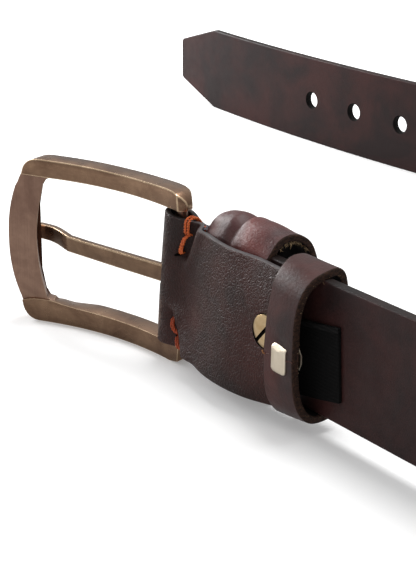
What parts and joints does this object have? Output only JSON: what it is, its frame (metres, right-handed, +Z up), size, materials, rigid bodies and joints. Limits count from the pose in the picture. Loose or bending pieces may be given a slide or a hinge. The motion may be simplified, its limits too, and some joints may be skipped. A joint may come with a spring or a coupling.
{
  "type": "leather dress belt",
  "caption": "Dark brown leather dress belt with a bowed pin buckle, a wide ribbed keeper, a narrow sliding keeper and a punched, taper-cut end, standing on edge in an open U.",
  "frame": {"origin": "bottom centre of the belt's bounding box as it stands on its edge", "axes": "+Z up, across the strap's width; +X along the near leg, away from the buckle towards the turn; +Y towards the far leg, the way the front of the near leg faces"},
  "size_m": [0.6255, 0.2332, 0.0489],
  "materials": {
    "strap_leather": "dark brown, smooth satin face with fine grain",
    "keeper_leather": "dark brown, smooth semi-gloss",
    "buckle_metal": "plated in a warm bronze-nickel tone, softly polished",
    "staple_metal": "pale gold, bright",
    "screw_metal": "old gold, satin",
    "thread": "orange-red waxed thread",
    "woven_tape": "black woven tape, matt"
  },
  "bodies": {
    "belt": {"strap": "strap_leather", "wide_keeper": "keeper_leather", "wide_keeper_staple": "staple_metal", "slotted_screw": "screw_metal", "screw_post": "screw_metal", "upper_stitches": "thread", "lower_stitches": "thread", "woven_tab": "woven_tape"},
    "buckle": {"buckle_frame": "buckle_metal"},
    "buckle_prong": {"prong": "buckle_metal"},
    "sliding_keeper": {"narrow_keeper": "keeper_leather", "narrow_keeper_staple": "staple_metal"}
  },
  "joints": [
    {"name": "frame_swing", "type": "hinge", "parent": "belt", "child": "buckle", "pos_m": [-0.05773, -0.09444, 0.0232], "axis": [0, 0, 1], "range_deg": [-35, 15]},
    {"name": "prong_swing", "type": "hinge", "parent": "buckle", "child": "buckle_prong", "pos_m": [-0.05773, -0.09444, 0.0253], "axis": [0, 0, -1], "range_deg": [0, 85]},
    {"name": "keeper_slide", "type": "slide", "parent": "belt", "child": "sliding_keeper", "axis": [1, 0, 0], "range_m": [-0.0075, 0.06]}
  ]
}
